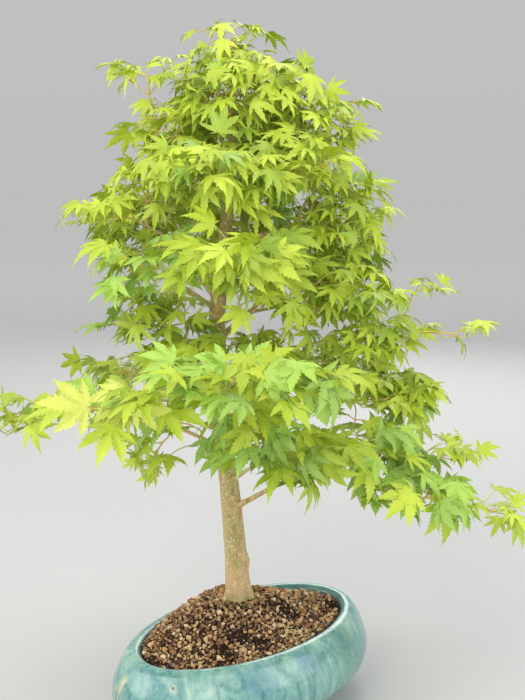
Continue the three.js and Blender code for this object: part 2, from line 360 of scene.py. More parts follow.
class Bough:
    def __init__(self, name):
        self.name = name
        V = verts(name)
        c = V.mean(0)
        d = np.linalg.svd(V - c, full_matrices=False)[2][0]
        h = (V - c) @ d
        lo, hi = V[h < np.percentile(h, 15)].mean(0), V[h > np.percentile(h, 85)].mean(0)
        if np.linalg.norm(lo[:2] - trunk_at(lo[2])[:2]) > np.linalg.norm(hi[:2] - trunk_at(hi[2])[:2]):
            d, h = -d, -h
        span = h.max() - h.min()
        rows = sections(name, c, d, h.min() + span * np.linspace(0.14, 0.86, 7))
        P = np.array([r[0] for r in rows])
        R = np.array([r[1] for r in rows])
        first, last = P[0] + (P[0] - P[1]) * 1.1, P[-1] + (P[-1] - P[-2]) * 1.1
        root = trunk_at(first[2] - 2.0)
        self.pts = np.vstack([root, first * 0.75 + root * 0.25, P, last])
        self.rad = np.concatenate([[R[0] * 1.25, R[0] * 1.15], R, [R[-1] * 0.97]])
        self.end = last
        self.mass = min(MASSES.values(), key=lambda m: m.gap(last)).name


BOUGHS = [Bough(n) for n in sorted(NODES) if n.startswith("bough_")]

# ------------------------------------------------------------------ how each mass is dressed
# leaf width in mm, spacing between shoots' ends, droop in degrees, and colour mood
DRESS = {
    "default": (46, 25, 36, "mid"),
    "front": (63, 24, 34, "pale"), "front_left": (62, 24, 52, "yellow"), "front_mid": (54, 24, 40, "fresh"),
    "front_low": (54, 23, 46, "green"), "front_right_low": (55, 23, 44, "green"), "right_low": (55, 24, 44, "pale"),
    "right_low_front": (56, 23, 44, "pale"), "low_right_tip": (45, 20, 36, "lime"), "low_right_top": (42, 20, 34, "lime"),
    "left_arm": (38, 20, 40, "mid"), "left_arm_tip": (44, 20, 38, "mid"), "left_drop": (36, 18, 56, "lime"),
    "left_mid": (50, 24, 44, "pale"), "left_shoulder": (42, 21, 40, "lime"), "right_reach_tip": (38, 19, 36, "lime"),
    "right_mid_tip": (38, 19, 38, "lime"), "right_reach": (42, 22, 42, "fresh"), "upper_left_tip": (42, 19, 34, "lime"),
    "upper_left": (42, 22, 38, "lime"), "upper_right": (42, 22, 40, "lime"), "top": (36, 19, 34, "lime"),
    "upper_crown": (41, 22, 38, "lime"), "front_upper": (46, 24, 40, "fresh"), "right_inner": (44, 24, 40, "fresh"),
    "right_shoulder": (42, 23, 42, "fresh"), "left_upper_mid": (43, 23, 40, "lime"), "left_lower_mid": (44, 24, 42, "green"),
    "left_low": (44, 23, 46, "green"), "left_low_top": (42, 22, 40, "fresh"), "right_mid": (46, 24, 42, "fresh"),
    "right_low_mid": (50, 24, 42, "fresh"), "inner_low": (50, 26, 40, "green"),
}
# colours of the blades: sRGB
BLADES = [
    ("leaf_lime", (200, 219, 70)), ("leaf_bright", (187, 208, 60)), ("leaf_fresh", (175, 199, 57)), ("leaf_mid", (160, 187, 60)),
    ("leaf_deep", (143, 172, 56)), ("leaf_pale", (174, 211, 89)), ("leaf_cool", (160, 196, 90)), ("leaf_yellow", (219, 229, 104)),
    ("leaf_dark", (120, 146, 48)),
]
MOODS = {
    "lime": [.34, .32, .20, .06, .02, .02, .0, .04, .0],
    "fresh": [.16, .30, .28, .14, .04, .04, .04, .0, .0],
    "mid": [.10, .24, .28, .20, .08, .05, .05, .0, .0],
    "green": [.06, .16, .26, .24, .12, .06, .08, .0, .02],
    "pale": [.10, .12, .09, .03, .0, .46, .20, .0, .0],
    "yellow": [.30, .10, .04, .0, .0, .12, .0, .44, .0],
}


STRAYS = {  # ends of the few shoots that hang out of a mass
    "front_mid": [(-7, -96, 446), (4, -98, 438), (-3, -96, 428), (12, -92, 446)],
    "front": [(-2, -136, 356), (9, -134, 346), (3, -134, 334), (-6, -132, 340), (16, -130, 352)],
    "front_low": [(-38, -110, 320), (-46, -112, 325), (-31, -104, 305), (-42, -108, 306)],
    "right_low": [(100, -70, 260), (115, -74, 248), (129, -80, 244)],
    "right_low_mid": [(105, -40, 312), (100, -44, 299)],
    "left_drop": [(-98, 0, 245), (-104, 4, 254)],
    "left_arm_tip": [(-199, -50, 332), (-181, -48, 329)],
    "right_mid": [(43, -32, 402), (52, -30, 394), (30, -34, 386), (17, -30, 380)],
}

# ------------------------------------------------------------------ growing the twigs
class Tree:
    """Twig nodes: place, parent, and the length walked from the trunk."""

    def __init__(self):
        self.p, self.parent, self.walk, self.kids = [], [], [], []

    def add(self, p, parent):
        self.p.append(np.asarray(p, float))
        self.parent.append(parent)
        self.walk.append(0 if parent < 0 else self.walk[parent] + float(np.linalg.norm(self.p[-1] - self.p[parent])))
        self.kids.append(0)
        if parent >= 0:
            self.kids[parent] += 1
        return len(self.p) - 1

    def heading(self, i):
        q = self.parent[i]
        return unit(self.p[i] - self.p[q]) if q >= 0 else UP


TREE = Tree()
SITES = []  # (twig node, mass, kind) where leaves grow


def grow_to(a, start, step=11.0):
    """A curved twig from node start to point a; returns its last node."""
    p0 = TREE.p[start]
    L = np.linalg.norm(a - p0)
    n = max(1, int(round(L / step)))
    lead = TREE.heading(start) * 0.6 + unit(a - p0)
    ctrl = p0 + unit(lead) * L * 0.5 + UP * L * RNG.uniform(-0.02, 0.1) + RNG.normal(0, 1, 3) * L * 0.05
    last = start
    for k in range(1, n + 1):
        t = k / n
        q = p0 * (1 - t) ** 2 + ctrl * 2 * t * (1 - t) + a * t * t
        last = TREE.add(q, last)
    return last


trunk_nodes = []
for z in np.arange(T_LOW + 90, T_TOP - 2, 7.0):
    trunk_nodes.append(TREE.add(trunk_at(z), trunk_nodes[-1] if trunk_nodes else -1))
trunk_set = set(trunk_nodes)
entry = {}
for b in BOUGHS:
    z0 = b.pts[0][2]
    near = min(trunk_nodes, key=lambda i: np.linalg.norm(TREE.p[i] - b.pts[0]))
    last = near
    for q in b.pts[2:]:
        last = TREE.add(q, last)
    b.nodes = (near, last)
    entry[b.mass] = last
limb_nodes = set(range(len(TREE.p)))

ORDER = sorted(MASSES.values(), key=lambda m: (m.name not in entry, min(np.linalg.norm(m.c - TREE.p[i]) for i in trunk_nodes)))
for m in ORDER:
    width, spacing, droop, mood = DRESS.get(m.key, DRESS["default"])
    inset = np.minimum(np.array([width * 0.44, width * 0.44, width * 0.2]), m.half * np.array([0.5, 0.5, 0.5]))
    reach = m.half - inset
    if m.name in entry:
        start = entry[m.name]
    else:
        P = np.array(TREE.p)
        d = np.linalg.norm(P - m.c, axis=1) + 0.25 * np.array(TREE.walk)
        start = int(np.argmin(d))
    # the limb inside the mass: to its middle, then on to its far side
    out = m.c - TREE.p[start]
    far = m.c + m.axes.T @ (reach * (m.axes @ unit(out)) * 0.6)
    own = [start]
    if np.linalg.norm(out) > 8:
        own.append(grow_to(m.c - UP * m.half[2] * 0.15, start))
    own.append(grow_to(far - UP * m.half[2] * 0.1, own[-1]))
    base = len(TREE.p) - 1
    first = start
    # shoots' ends: darts thrown in the mass
    want = int(4.6 * np.prod(reach + 5) * 4.19 / spacing ** 3) + 10
    ends = []
    for _ in range(want * 40):
        if len(ends) >= want:
            break
        v = RNG.normal(0, 1, 3)
        v = unit(v) * RNG.uniform(0.25, 1) ** (1 / 3)
        p = m.c + m.axes.T @ (v * reach)
        if ends and min(np.linalg.norm(p - e) for e in ends) < spacing * 0.62:
            continue
        if np.linalg.norm(p[:2] - trunk_at(min(p[2], T_TOP))[:2]) < 9 and p[2] < T_TOP:
            continue
        if not m.inside(p):
            continue
        ends.append(p)
    ends += [np.array(q, float) for q in STRAYS.get(m.key, [])]
    ends.sort(key=lambda e: np.linalg.norm(e - TREE.p[own[0]]))
    pool = [i for i in range(len(TREE.p)) if i in set(own) or i >= base - 12 or i == start]
    new_from = len(TREE.p)
    for e in ends:
        cand = pool + list(range(new_from, len(TREE.p)))
        P = np.array([TREE.p[i] for i in cand])
        W = np.array([TREE.walk[i] for i in cand])
        H = np.array([TREE.heading(i) for i in cand])
        d = e - P
        L = np.linalg.norm(d, axis=1)
        turn = 1 - np.einsum("ij,ij->i", d, H) / np.maximum(L, 1e-6)
        crowd = np.array([4.0 * max(0, TREE.kids[i] - 1) for i in cand])
        cost = L + 0.22 * W + 9 * turn + crowd
        s = cand[int(np.argmin(cost))]
        before = len(TREE.p)
        tip = grow_to(e, s)
        SITES.append((tip, m, "end"))
        made = list(range(before, len(TREE.p) - 1))
        for q in made[::-1][1:]:
            if RNG.random() < 0.8:
                SITES.append((q, m, "pair"))

# twig thickness from how many shoots each one feeds
load = np.zeros(len(TREE.p))
for tip, _, kind in SITES:
    if kind == "end":
        i = tip
        while i >= 0:
            load[i] += 1
            i = TREE.parent[i]
radius = 0.32 + 0.20 * np.maximum(load, 1) ** 0.5

# ------------------------------------------------------------------ leaf blades
def blade(rng, young=False, curl=1.0, teeth=(6, 6, 5, 3), slim=1.0):
    """One palmate leaf, its central lobe along +Y and 1 long, its upper face to +Z: vertices, triangles, 0 blade or 1 vein."""
    V, F, M = [], [], []

    def put(x, y, z):
        V.append((x, y, z))
        return len(V) - 1

    ang = np.radians([0, 37, 76, 121]) * rng.uniform(0.95, 1.06)
    leng = np.array([1.0, 0.88, 0.65, 0.31])
    wide = np.array([0.172, 0.162, 0.138, 0.085]) * (0.7 if young else 1.0) * slim * rng.uniform(0.92, 1.1)
    lobes = [(0.0 + rng.normal(0, 0.03), leng[0] * rng.uniform(0.95, 1.05), wide[0], teeth[0])]
    for i in (1, 2, 3):
        for s in (-1, 1):
            lobes.append((s * ang[i] + rng.normal(0, 0.05), leng[i] * rng.uniform(0.92, 1.07), wide[i], teeth[i]))
    lobes.sort(key=lambda q: q[0])
    fold = rng.uniform(0.2, 0.45) * (1.5 if young else 1)
    droop = rng.uniform(0.10, 0.30) * curl * (1.4 if young else 1)
    tipcurl = rng.uniform(0.0, 0.5) * curl
    sag = rng.uniform(0.0, 0.16)
    twist = [rng.normal(0, 0.16) for _ in lobes]

    def lift(x, y, off, i, s):
        r = math.hypot(x, y)
        z = fold * abs(off) * (0.5 + 0.5 * min(1, r * 2.2)) - droop * r * r - tipcurl * max(0.0, r - 0.62) ** 2 * 2 - sag * abs(x)
        return z + twist[i] * off * r * 1.4 + 0.02 * math.sin(9 * x + 4 * y)

    # the notches between lobes
    sinus = []
    for (a0, l0, *_), (a1, l1, *_) in zip(lobes[:-1], lobes[1:]):
        am, lm = (a0 + a1) / 2, min(l0, l1)
        r = (0.37 if lm > 0.8 else 0.32 if lm > 0.5 else 0.19) * (0.72 if young else 1) * slim ** 0.5 * rng.uniform(0.93, 1.08)
        sinus.append((r * math.sin(am), r * math.cos(am)))
    first, last = lobes[0], lobes[-1]
    heel = [(0.05 * math.sin(first[0] - 0.5), 0.05 * math.cos(first[0] - 0.5)), (0.05 * math.sin(last[0] + 0.5), 0.05 * math.cos(last[0] + 0.5))]
    edge = [heel[0]] + sinus + [heel[1]]
    shared = []
    for k, (x, y) in enumerate(edge):
        shared.append(put(x, y, lift(x, y, 0.05, min(k, len(lobes) - 1), 0.3) + 0.012))

    def width(s, w):
        # from the notch out: swells, then draws to a long tip
        return w * (0.8 + 0.55 * math.sin(math.pi * max(0.0, s) ** 0.8)) * (1 - s) ** 0.85 if s < 1 else 0

    for i, (a, L, w, nt) in enumerate(lobes):
        ux, uy = math.sin(a), math.cos(a)
        vx, vy = math.cos(a), -math.sin(a)  # to the lobe's right
        s0 = (0.41 if L > 0.8 else 0.46) if L > 0.5 else 0.36
        vein = 0.0085 if L > 0.5 else 0.006
        ribs = []
        stations = [0.015] + [s0 * 0.62 + (0.93 - s0 * 0.62) * k / nt for k in range(nt)]
        for s in stations:
            x, y = ux * L * s, uy * L * s
            hw = vein * (1 - 0.75 * s)
            z = lift(x, y, 0, i, s)
            ribs.append((put(x - vx * hw, y - vy * hw, z), put(x + vx * hw, y + vy * hw, z)))
        tip = put(ux * L, uy * L, lift(ux * L, uy * L, 0, i, 1) - 0.01)
        for k in range(len(ribs) - 1):
            a0, b0 = ribs[k]
            a1, b1 = ribs[k + 1]
            F.append((a0, b0, b1)); M.append(1)
            F.append((a0, b1, a1)); M.append(1)
        F.append((ribs[-1][0], ribs[-1][1], tip)); M.append(1)
        for sgn, col, start in ((-1, 0, shared[i]), (1, 1, shared[i + 1])):
            prev = start
            rib = [r[col] for r in ribs]
            tri = []
            tri.append((rib[0], rib[1], prev))
            for k in range(1, nt + 1):
                sv = stations[k] + 0.085 * (1 - 0.55 * k / nt)
                t_in = (sv - s0) / (1 - s0)
                if t_in < 0.04:
                    t_in = 0.04
                    sv = s0 + 0.04 * (1 - s0)
                hw = width(t_in, w) * (1.13 + rng.normal(0, 0.04))
                x, y = ux * L * sv + vx * sgn * hw * L, uy * L * sv + vy * sgn * hw * L
                tooth = put(x, y, lift(x, y, hw * L, i, sv) - 0.006)
                s2 = min(0.985, sv + 0.012)
                hn = width(min(1, (s2 - s0) / (1 - s0)), w) * 0.76
                x, y = ux * L * s2 + vx * sgn * hn * L, uy * L * s2 + vy * sgn * hn * L
                notch = put(x, y, lift(x, y, hn * L, i, s2) + 0.012)
                tri += [(rib[k], tooth, prev), (rib[k], notch, tooth)]
                if k < nt:
                    tri.append((rib[k], rib[k + 1], notch))
                else:
                    tri.append((rib[k], tip, notch))
                prev = notch
            for t in tri:
                F.append(t if sgn < 0 else (t[0], t[2], t[1]))
                M.append(0)
    return np.array(V), np.array(F), np.array(M)


trng = np.random.default_rng(99)
CURLS = (0.3, 0.6, 0.8, 1.0, 1.0, 1.2, 1.4, 1.7, 2.0)
SHAPES = {
    "broad": [blade(trng, curl=c) for c in CURLS],
    "slim": [blade(trng, curl=c, teeth=(4, 4, 3, 2), slim=0.84) for c in CURLS],
    "inner": [blade(trng, curl=c, teeth=(3, 3, 2, 1), slim=0.9) for c in CURLS],
    "young": [blade(trng, True, curl=c, teeth=(4, 4, 3, 2)) for c in (0.9, 1.2, 1.6)],
}

# ------------------------------------------------------------------ the open air in the crown, seen from the best side
# [across, height, half width, half height] in mm at the trunk's depth; the eye is in front
BOX = np.array(CAD_BOX, float) * 1000
EYE = np.array([17.0, -940.0, 526.3])
OPENINGS = [
    (259, 384, 16, 14), (-132, 558, 14, 14), (237, 166, 18, 8),
    (188, 361, 22, 19), (-134, 369, 24, 11), (-170, 289, 19, 13), (7, 404, 21, 13), (239, 242, 18, 11), (187, 412, 14, 13),
    (-148, 416, 11, 14), (-1, 238, 8, 22), (154, 444, 14, 9), (-116, 602, 11, 13), (-83, 274, 11, 18), (-118, 238, 8, 13),
    (-167, 335, 12, 12), (-41, 668, 15, 6), (-89, 615, 9, 8), (210, 310, 8, 12), (100, 431, 14, 5), (188, 271, 9, 9),
    (142, 492, 8, 9), (-159, 526, 11, 9), (232, 378, 9, 7), (134, 518, 11, 5), (129, 437, 7, 6), (-79, 589, 8, 7),
    (-158, 462, 6, 8), (-78, 620, 5, 8), (27, 311, 8, 6), (-164, 492, 7, 6), (-67, 274, 7, 13),
]


def in_the_open(P):
    """True where a point lies on the line from the eye through one of the openings."""
    P = np.atleast_2d(P)
    t = (TRUNK_C[0][1] - EYE[1]) / (P[:, 1] - EYE[1])
    X, Z = EYE[0] + (P[:, 0] - EYE[0]) * t, EYE[2] + (P[:, 2] - EYE[2]) * t
    return any((((X - x) / a) ** 2 + ((Z - z) / b) ** 2 < 0.55).any() for x, z, a, b in OPENINGS)


# ------------------------------------------------------------------ leaves on the twigs
leaf_rows = []  # (region, template list, template, place, forward, normal, size, colour)
stalks = Pile()
centres = []
crown_top = max(m.c[2] for m in MASSES.values())


def put_leaf(site, m, side, spray_colour, order):
    width, spacing, droop, mood = DRESS.get(m.key, DRESS["default"])
    p = TREE.p[site]
    d = TREE.heading(site)
    axis = trunk_at(min(p[2], T_TOP))
    away = p[:2] - axis[:2]
    out = unit([away[0], away[1], 0.0]) if np.linalg.norm(away) > 6 else unit([d[0], d[1], 0])
    flat = unit([d[0], d[1], 0.0]) if math.hypot(d[0], d[1]) > 0.25 else out
    turn = side * math.radians(RNG.uniform(25, 105)) + RNG.normal(0, 0.35)
    c, s = math.cos(turn), math.sin(turn)
    head = np.array([flat[0] * c - flat[1] * s, flat[0] * s + flat[1] * c, 0.0])
    head = unit(head + out * RNG.uniform(0.0, 0.6))
    size = width * RNG.uniform(0.78, 1.16) * 0.56
    if order == "tip":
        size *= RNG.uniform(0.55, 0.85)
    lp = size * RNG.uniform(0.4, 1.1)
    rise = RNG.normal(0.4, 0.3)
    base = p + unit(head + UP * rise + d * 0.4) * lp
    # the blade's face turns to the light: up, outwards, and towards the tree's best side
    best = np.array([0, -1.0, 0]) if p[1] < 34 else np.array([0, 0.45, 0])
    lean = unit(out * RNG.uniform(0.2, 0.8) + best * RNG.uniform(0.1, 0.9) + RNG.normal(0, 0.45, 3) * [1, 1, 0])
    edge_on = RNG.random() < 0.15
    tilt = math.radians(RNG.normal(4, 16) if edge_on else np.clip(droop + RNG.normal(0, 24), -20, 100))
    n = unit(UP * math.cos(tilt) + lean * math.sin(tilt))
    dip = math.radians(np.clip(0.5 * droop + RNG.normal(0, 24), -40, 80))
    f = head * math.cos(dip) - UP * math.sin(dip)
    f = unit(f - n * f.dot(n))
    centre = base + f * size * 0.45
    if centres:
        near = np.linalg.norm(np.array(centres) - centre, axis=1).min()
        if near < size * 0.345:
            return False
    if p[2] < T_TOP and np.linalg.norm(centre[:2] - trunk_at(centre[2])[:2]) < trunk_r(centre[2]) + 5:
        return False
    side_way = np.cross(f, n)
    spread = np.array([centre, base + f * size * 0.9, base + (f * 0.55 + side_way * 0.5) * size, base + (f * 0.55 - side_way * 0.5) * size])
    if in_the_open(spread):
        return False
    # no leaf hangs further out than the tips of the masses, give or take a lobe
    ends = np.vstack([spread, base + f * size * 1.06, base + side_way * size * 0.7, base - side_way * size * 0.7])
    if (ends < BOX[0] - 8).any() or (ends > BOX[1] + 8).any():
        return False
    centres.append(centre)
    if order == "tip" and RNG.random() < 0.5:
        shape = "young"
    elif np.linalg.norm(away) < 0.42 * CROWN_R(p[2]):
        shape = "inner"
    else:
        shape = "broad" if width > 47 else "slim"
    k = int(RNG.integers(len(SHAPES[shape])))
    # neighbours in a spray share a colour, with a few a shade off
    col = spray_colour if RNG.random() < 0.6 else int(RNG.choice(len(BLADES), p=np.array(MOODS[mood]) / sum(MOODS[mood])))
    leaf_rows.append((m.name, shape, k, base, f, n, size, col))
    mid = (p + base) / 2 + UP * lp * 0.10 + RNG.normal(0, 0.4, 3)
    tone = int(RNG.choice(3, p=[.5, .3, .2]))
    q = [p, p * 0.36 + mid * 0.48 + base * 0.16, p * 0.1 + mid * 0.45 + base * 0.45, base + f * size * 0.02]
    tube(stalks, q, np.array([0.64, 0.5, 0.46, 0.44]) * (size / 25) ** 0.5, 3, tone, cap=False)
    return True


reach_z = np.array([[m.c[2], np.linalg.norm(m.c[:2]) + m.half[0]] for m in MASSES.values()])


def CROWN_R(z):
    """How far the foliage reaches from the trunk about a height."""
    near = np.abs(reach_z[:, 0] - z) < 45
    return float(reach_z[near, 1].mean()) if near.any() else 60.0


RNG = np.random.default_rng(4417)
for site, m, kind in sorted(SITES, key=lambda q: -np.linalg.norm(TREE.p[q[0]][:2] - TREE.p[trunk_nodes[0]][:2])):
    mood = DRESS.get(m.key, DRESS["default"])[3]
    w = np.array(MOODS[mood])
    # higher is fresher
    h = (TREE.p[site][2] - T_LOW) / (T_TOP - T_LOW)
    w = w * np.array([1 + h, 1 + h, 1, 1, 1.2 - h * 0.6, 1, 1, 1, 1.2 - h * 0.6])
    spray = int(RNG.choice(len(BLADES), p=w / w.sum()))
    if kind == "end":
        put_leaf(site, m, 1, spray, "")
        put_leaf(site, m, -1, spray, "")
        put_leaf(site, m, RNG.uniform(-0.3, 0.3), spray, "tip" if RNG.random() < 0.45 else "")
    else:
        put_leaf(site, m, 1, spray, "")
        put_leaf(site, m, -1, spray, "")

print("leaves", len(leaf_rows), "of sites", len(SITES), "twig nodes", len(TREE.p), "stalk faces", stalks.count(), "leaf faces", sum(len(SHAPES[r[1]][r[2]][1]) for r in leaf_rows))

blade_mats = [plain(n, c, rough=0.42, spec=0.42) for n, c in BLADES]
vein_mats = [plain(n.replace("leaf", "vein"), tuple(min(255, int(v * 0.92 + 26)) for v in c), rough=0.5, spec=0.3) for n, c in BLADES]
LEAF_MATS = blade_mats + vein_mats
names_by_piece = {}
piece_faces = 185000
piles, owners = [Pile()], [set()]
rows_sorted = sorted(leaf_rows, key=lambda r: r[0])
for name, shape, k, base, f, n, size, col in rows_sorted:
    V, F, M = SHAPES[shape][k]
    if piles[-1].count() + len(F) > piece_faces:
        piles.append(Pile())
        owners.append(set())
    x = np.cross(f, n)
    P = base + (V[:, :1] * x + V[:, 1:2] * f + V[:, 2:] * n) * size
    piles[-1].add(P, F, np.where(M == 0, col, col + len(BLADES)))
    owners[-1].add(name)
claimed = set()
for i, (pl, own) in enumerate(zip(piles, owners)):
    mine = sorted(own - claimed)
    claimed |= own
    pl.build("leaves_spray_%d" % (i + 1), LEAF_MATS, "foliage", True, mine)
left = [n for n in MASSES if n not in claimed]

# ------------------------------------------------------------------ twigs
twigs = Pile()
for i in range(len(TREE.p)):
    q = TREE.parent[i]
    if q < 0 or i in limb_nodes:
        continue
    a, b = TREE.p[q], TREE.p[i]
    ra = min(radius[q], radius[i] * 1.25) if q not in trunk_set else radius[i] * 1.3
    mid = (a + b) / 2 + RNG.normal(0, 0.35, 3)
    tone = 0 if radius[i] > 1.5 else (1 if radius[i] > 0.95 else 2)
    tube(twigs, [a, mid, b], [ra, (ra + radius[i]) / 2, radius[i]], 6, tone, cap=load[i] <= 1)
TWIG_MATS = [plain("twig_tan", (206, 192, 126), 0.65, 0.3), plain("twig_yellow", (216, 206, 112), 0.6, 0.35), plain("twig_amber", (222, 200, 104), 0.55, 0.4), plain("twig_node", (196, 128, 66), 0.6, 0.35)]
STALK_MATS = [plain("stalk_green", (214, 220, 96), 0.5, 0.4), plain("stalk_yellow", (234, 226, 116), 0.5, 0.4), plain("stalk_amber", (226, 184, 92), 0.5, 0.4)]
twigs.build("twigs", TWIG_MATS, "bark", True, left)
stalks.build("leaf_stalks", STALK_MATS, "foliage", True)

# ------------------------------------------------------------------ trunk and boughs, with the bark's relief
bark = Pile()
zs = np.concatenate([np.arange(T_LOW, T_LOW + 40, 1.0), np.arange(T_LOW + 40, T_TOP, 1.7), [T_TOP]])
axis = np.array([trunk_at(z) for z in zs])
axis[:, 2] = zs
rad = np.array([trunk_r(z) for z in zs])
knobs = [(151, -0.25, 6.5, 2.6), (186, 2.4, 6, 0.8), (232, -2.0, 5, 0.9), (262, 0.6, 6, 1.0), (409, -1.5, 6, 1.3), (330, -2.5, 5, 0.9), (128, -1.1, 7, 1.0)]


def trunk_relief(P, a, k):
    z = P[:, 2]
    r = np.interp(z, zs, rad)
    low = 1 - smooth(T_LOW, T_LOW + 26, z)
    spur = 0.10 * np.cos(5 * a + 0.8) + 0.07 * np.cos(8 * a + 2.1) + 0.03 * np.cos(13 * a)
    foot = 1 - smooth(T_LOW + 2, T_LOW + 15, z)
    out0 = foot * (1.1 * noise(np.stack([np.cos(a) * 2.6, np.sin(a) * 2.6, z / 7], 1), 41) + 0.5 * noise(np.stack([np.cos(a) * 6, np.sin(a) * 6, z / 3], 1), 42))
    out = r * low * spur + out0
    cyl = np.stack([np.cos(a) * 2.2, np.sin(a) * 2.2, z / 26], 1)
    out += 0.42 * noise(cyl * 1.6, 3) * np.minimum(1, r / 9)
    out += 0.20 * noise(np.stack([np.cos(a) * 9, np.sin(a) * 9, z / 9], 1), 5)
    out += 0.11 * noise(np.stack([np.cos(a) * 22, np.sin(a) * 22, z / 5], 1), 9)
    out += 0.10 * np.maximum(0, noise(np.stack([np.cos(a) * 5, np.sin(a) * 5, z / 1.7], 1), 12) - 0.35) * 2
    for zk, ak, w, h in knobs:
        da = np.angle(np.exp(1j * (a - ak)))
        out += h * np.exp(-((z - zk) / w) ** 2 - (da * r / w) ** 2)
    return out * (0.35 + 0.65 * np.minimum(1, r / 8))


tube(bark, axis, rad, 96, 0, True, trunk_relief)
for b in BOUGHS:
    P = b.pts
    s = np.concatenate([[0], np.cumsum(np.linalg.norm(np.diff(P, axis=0), axis=1))])
    t = np.arange(0, s[-1], 1.8)
    Q = np.stack([np.interp(t, s, P[:, i]) for i in range(3)], 1)
    for _ in range(6):
        Q[1:-1] = (Q[:-2] + 2 * Q[1:-1] + Q[2:]) / 4
    R = np.interp(t, s, b.rad)
    tr = trunk_r(P[0][2])
    R = R * (1 + 0.45 * np.exp(-np.maximum(0, t - tr) / 5.0))
    end_r = radius[b.nodes[1]]
    R = R * (1 - smooth(s[-1] * 0.55, s[-1], t)) + np.minimum(R, max(end_r, R[-1] * 0.72)) * smooth(s[-1] * 0.55, s[-1], t)
    sd = int(abs(P[0][2]) * 7) % 97

    def relief(X, a, k, t=t, sd=sd, R=R):
        r = R[k]
        g = 0.16 * noise(np.stack([np.cos(a) * 3, np.sin(a) * 3, t[k] / 9], 1), sd) + 0.07 * noise(np.stack([np.cos(a) * 7, np.sin(a) * 7, t[k] / 3], 1), sd + 1)
        ringed = 0.12 * np.exp(-((((t[k] + sd) % 19) - 9) / 1.1) ** 2)
        return (g + ringed) * np.minimum(1.2, r / 2.6)

    tube(bark, Q, R, 26, 0, True, relief)

m, n, l, p = material("bark")
co = n.new("ShaderNodeTexCoord").outputs["Object"]
fine = noise_tex(n, l, scaled(n, l, co, (1, 1, 0.3)), 240, 6, 0.65)
streak = noise_tex(n, l, scaled(n, l, co, (1, 1, 0.14)), 420, 4, 0.6)
patch = noise_tex(n, l, co, 74, 5, 0.62, 0.5)
patch2 = noise_tex(n, l, co, 27, 4, 0.55, 0.3)
speck = noise_tex(n, l, scaled(n, l, co, (1, 1, 0.7)), 760, 3, 0.65)
speck2 = noise_tex(n, l, scaled(n, l, co, (1, 1, 0.6)), 520, 3, 0.65)
base = ramp(n, l, fine, [(0.28, (178, 150, 98)), (0.5, (208, 184, 128)), (0.72, (230, 210, 160))]).outputs["Color"]
base = mix(n, l, ramp(n, l, streak, [(0.44, (0, 0, 0)), (0.62, (130, 130, 130))]).outputs["Color"], base, srgb(164, 134, 88))
# an olive band of algae up the middle of the trunk's face
xyz = n.new("ShaderNodeSeparateXYZ"); l.new(co, xyz.inputs[0])
lean = n.new("ShaderNodeMath"); lean.operation = "MULTIPLY_ADD"; l.new(xyz.outputs["Z"], lean.inputs[0]); lean.inputs[1].default_value = 0.088; lean.inputs[2].default_value = -0.0035
across = n.new("ShaderNodeMath"); across.operation = "ADD"; l.new(xyz.outputs["X"], across.inputs[0]); l.new(lean.outputs[0], across.inputs[1])
wide = n.new("ShaderNodeMath"); wide.operation = "ABSOLUTE"; l.new(across.outputs[0], wide.inputs[0])
band = n.new("ShaderNodeMapRange"); l.new(wide.outputs[0], band.inputs["Value"])
band.inputs["From Min"].default_value = 0.002; band.inputs["From Max"].default_value = 0.0095; band.inputs["To Min"].default_value = 1; band.inputs["To Max"].default_value = 0.12
green = ramp(n, l, patch, [(0.40, (0, 0, 0)), (0.6, (225, 225, 225))]).outputs["Color"]
moss = n.new("ShaderNodeMath"); moss.operation = "MULTIPLY"; l.new(green, moss.inputs[0]); l.new(band.outputs["Result"], moss.inputs[1])
base = mix(n, l, moss.outputs[0], base, srgb(146, 152, 80))
pale = ramp(n, l, patch2, [(0.5, (0, 0, 0)), (0.7, (130, 130, 130))]).outputs["Color"]
base = mix(n, l, pale, base, srgb(236, 218, 176))
dots = ramp(n, l, speck, [(0.52, (0, 0, 0)), (0.62, (215, 215, 215))]).outputs["Color"]
base = mix(n, l, dots, base, srgb(134, 112, 66))
dots = ramp(n, l, speck2, [(0.53, (0, 0, 0)), (0.64, (205, 205, 205))]).outputs["Color"]
base = mix(n, l, dots, base, srgb(250, 236, 196))
for centre, ri, ro, colour in (((-9, 6, 132), 6, 34, (222, 178, 138)), ((-2, 14, 204), 2, 13, (222, 160, 100)), ((-27, 5, 410), 2, 9, (216, 140, 84)), ((-22, 6, 268), 2, 10, (226, 186, 132)), ((-12, 4, 111), 4, 13, (150, 152, 106)), ((2, 8, 111), 4, 12, (158, 154, 112))):
    f = spot(n, l, co, centre, ri, ro)
    g = n.new("ShaderNodeMath"); g.operation = "MULTIPLY"; g.inputs[1].default_value = 0.42
    l.new(f, g.inputs[0])
    base = mix(n, l, g.outputs[0], base, srgb(*colour))
l.new(base, p.inputs["Base Color"])
p.inputs["Roughness"].default_value = 0.78
p.inputs["Specular IOR Level"].default_value = 0.3
bump_node(n, l, fine, 0.35, 0.0006, p)
bark.build("trunk_and_boughs", [m], "bark", True, ["trunk"] + [b.name for b in BOUGHS])

